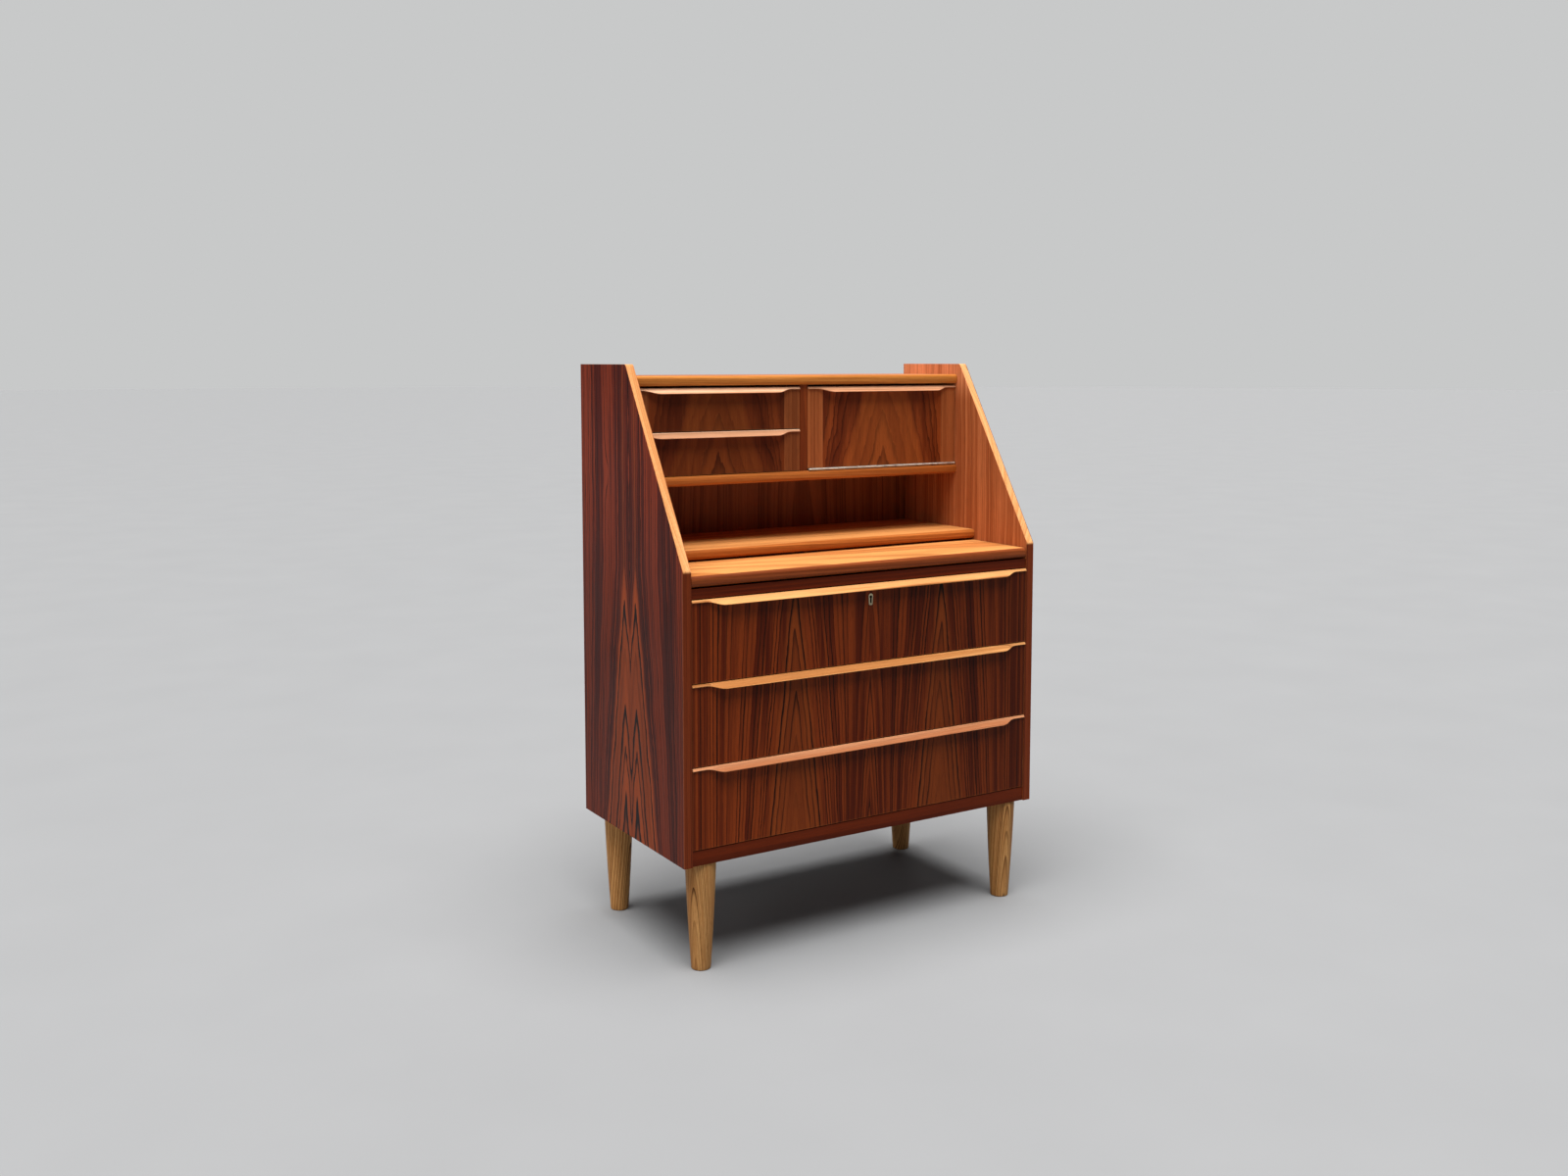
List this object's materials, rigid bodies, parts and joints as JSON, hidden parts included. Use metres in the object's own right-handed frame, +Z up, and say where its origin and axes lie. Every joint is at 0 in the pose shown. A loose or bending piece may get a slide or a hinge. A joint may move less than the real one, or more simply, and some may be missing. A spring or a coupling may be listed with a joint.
{
  "type": "secretary desk",
  "caption": "Upright teak secretary with slanted sides, pull-out writing board, open pigeonhole, drop flap, small and wide drawers, round tapered legs.",
  "frame": {"origin": "on the floor under the middle of the bounding box", "axes": "+Z up, +X to the right as seen by someone facing the front, -Y is the front that the drawers slide out of"},
  "size_m": [0.8, 0.435, 1.091],
  "materials": {
    "teak_veneer": "oiled satin teak veneer",
    "teak_solid": "oiled satin solid teak",
    "oak": "matt oiled oak",
    "beech": "plain sanded beech",
    "plywood": "plain plywood",
    "nickel": "aged nickel plate",
    "steel": "plain steel",
    "hinge_steel": "bright steel piano hinge"
  },
  "bodies": {
    "cabinet": {"side_left": "teak_veneer", "side_right": "teak_veneer", "top_board": "teak_veneer", "upper_shelf": "teak_veneer", "desk_shelf": "teak_veneer", "upper_divider": "teak_veneer", "dust_panel": "plywood", "back_panel": "plywood", "front_rail": "teak_solid", "bottom_panel": "teak_veneer", "leg_front_left": "oak", "leg_front_right": "oak", "leg_back_left": "oak", "leg_back_right": "oak", "drawer_top_runner_left": "beech", "drawer_top_runner_right": "beech", "drawer_middle_runner_left": "beech", "drawer_middle_runner_right": "beech", "drawer_bottom_runner_left": "beech", "drawer_bottom_runner_right": "beech", "writing_runner_left": "beech", "writing_runner_right": "beech", "flap_hinge_leaf_fixed": "hinge_steel"},
    "writing_slide": {"writing_board": "teak_veneer"},
    "drawer_top": {"drawer_top_front": "teak_veneer", "drawer_top_lip": "teak_solid", "drawer_top_side_left": "beech", "drawer_top_side_right": "beech", "drawer_top_back": "beech", "drawer_top_floor": "plywood", "escutcheon": "nickel", "lock_case": "steel"},
    "drawer_middle": {"drawer_middle_front": "teak_veneer", "drawer_middle_lip": "teak_solid", "drawer_middle_side_left": "beech", "drawer_middle_side_right": "beech", "drawer_middle_back": "beech", "drawer_middle_floor": "plywood"},
    "drawer_bottom": {"drawer_bottom_front": "teak_veneer", "drawer_bottom_lip": "teak_solid", "drawer_bottom_side_left": "beech", "drawer_bottom_side_right": "beech", "drawer_bottom_back": "beech", "drawer_bottom_floor": "plywood"},
    "lock_bolt": {"lock_bolt": "steel"},
    "small_drawer_upper": {"small_drawer_upper_front": "teak_veneer", "small_drawer_upper_lip": "teak_solid", "small_drawer_upper_side_left": "beech", "small_drawer_upper_side_right": "beech", "small_drawer_upper_back": "beech", "small_drawer_upper_floor": "plywood"},
    "small_drawer_lower": {"small_drawer_lower_front": "teak_veneer", "small_drawer_lower_lip": "teak_solid", "small_drawer_lower_side_left": "beech", "small_drawer_lower_side_right": "beech", "small_drawer_lower_back": "beech", "small_drawer_lower_floor": "plywood"},
    "flap": {"flap_panel": "teak_veneer", "flap_lip": "teak_solid", "flap_hinge_leaf_moving": "hinge_steel"}
  },
  "joints": [
    {"name": "writing_board_slide", "type": "slide", "parent": "cabinet", "child": "writing_slide", "axis": [0, -1, 0], "range_m": [0, 0.24]},
    {"name": "drawer_top_slide", "type": "slide", "parent": "cabinet", "child": "drawer_top", "axis": [0, -1, 0], "range_m": [0, 0.28]},
    {"name": "drawer_middle_slide", "type": "slide", "parent": "cabinet", "child": "drawer_middle", "axis": [0, -1, 0], "range_m": [0, 0.28]},
    {"name": "drawer_bottom_slide", "type": "slide", "parent": "cabinet", "child": "drawer_bottom", "axis": [0, -1, 0], "range_m": [0, 0.28]},
    {"name": "small_drawer_upper_slide", "type": "slide", "parent": "cabinet", "child": "small_drawer_upper", "axis": [0, -1, 0], "range_m": [0, 0.12]},
    {"name": "small_drawer_lower_slide", "type": "slide", "parent": "cabinet", "child": "small_drawer_lower", "axis": [0, -1, 0], "range_m": [0, 0.12]},
    {"name": "flap_hinge", "type": "hinge", "parent": "cabinet", "child": "flap", "pos_m": [0.19575, 0.03, 0.88], "axis": [1, 0, 0], "range_deg": [0, 90]},
    {"name": "lock_bolt_throw", "type": "slide", "parent": "drawer_top", "child": "lock_bolt", "axis": [0, 0, 1], "range_m": [0, 0.006]}
  ]
}
